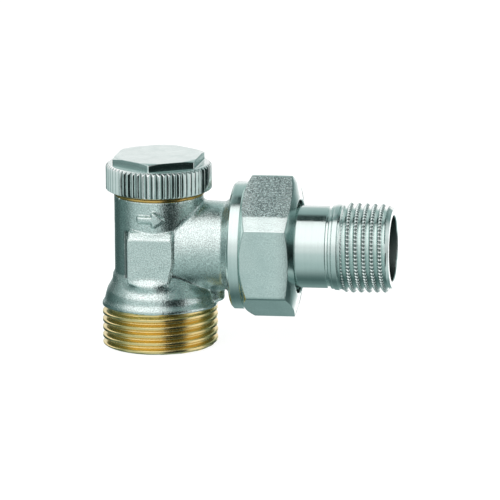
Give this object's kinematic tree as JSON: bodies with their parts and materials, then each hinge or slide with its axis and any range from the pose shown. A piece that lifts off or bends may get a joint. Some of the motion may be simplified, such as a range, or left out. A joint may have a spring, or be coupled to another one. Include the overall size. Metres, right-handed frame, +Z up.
{
  "type": "radiator valve",
  "caption": "Nickel-plated angle lockshield radiator valve: upright threaded inlet, screw cap with hexagon, side union nut and threaded tailpiece.",
  "frame": {"origin": "centre of the inlet mouth, in the plane of the inlet thread's lower end", "axes": "+Z up along the spindle and cap axis, +X along the union towards the tailpiece's threaded end, spanner boss on the -Y side"},
  "size_m": [0.0667, 0.0302, 0.0442],
  "materials": {
    "blasted_nickel": "nickel-plated, fine blasted",
    "nickel_cap": "nickel-plated, turned",
    "polished_nickel": "nickel-plated, polished",
    "polished_tail": "nickel-plated, polished",
    "brass": "bare turned brass",
    "steel": "bare stainless",
    "rubber": "matt black"
  },
  "bodies": {
    "body": {"valve_body": "blasted_nickel", "bonnet": "brass", "bonnet_seal": "rubber", "spindle_stop_ring": "steel"},
    "cap_ring": {"cap_seal": "rubber"},
    "cap": {"protective_cap": "nickel_cap"},
    "disc": {"valve_disc": "brass", "disc_clip": "steel", "disc_seal": "rubber", "disc_washer": "steel", "disc_screw": "steel"},
    "spindle": {"spindle": "steel", "spindle_o_ring_upper": "rubber", "spindle_o_ring_lower": "rubber"},
    "union_ring": {"union_o_ring": "rubber"},
    "nut": {"union_nut": "polished_nickel"},
    "tail": {"tailpiece": "polished_tail"}
  },
  "joints": [
    {"name": "cap_rise", "type": "slide", "parent": "body", "child": "cap_ring", "axis": [0, 0, 1], "range_m": [0, 0.004]},
    {"name": "cap_turn", "type": "hinge", "parent": "cap_ring", "child": "cap", "pos_m": [0, 0, 0.0402], "axis": [0, 0, 1], "range_deg": [0, 1440]},
    {"name": "disc_lift", "type": "slide", "parent": "body", "child": "disc", "axis": [0, 0, 1], "range_m": [0, 0.003]},
    {"name": "spindle_turn", "type": "hinge", "parent": "disc", "child": "spindle", "pos_m": [0, 0, 0.03], "axis": [0, 0, 1], "range_deg": [0, 1080]},
    {"name": "union_part", "type": "slide", "parent": "body", "child": "union_ring", "axis": [1, 0, 0], "range_m": [0, 0.00907]},
    {"name": "nut_turn", "type": "hinge", "parent": "union_ring", "child": "nut", "pos_m": [0.026, 0, 0.0232], "axis": [1, 0, 0], "range_deg": [0, 1800]},
    {"name": "tail_swivel", "type": "hinge", "parent": "union_ring", "child": "tail", "pos_m": [0.045, 0, 0.0232], "axis": [1, 0, 0], "continuous": true}
  ],
  "couplings": [
    {"joint": "cap_rise", "follows": "cap_turn", "m_per_rad": 0.00015915},
    {"joint": "disc_lift", "follows": "spindle_turn", "m_per_rad": 0.00015915},
    {"joint": "union_part", "follows": "nut_turn", "m_per_rad": 0.00028871}
  ]
}
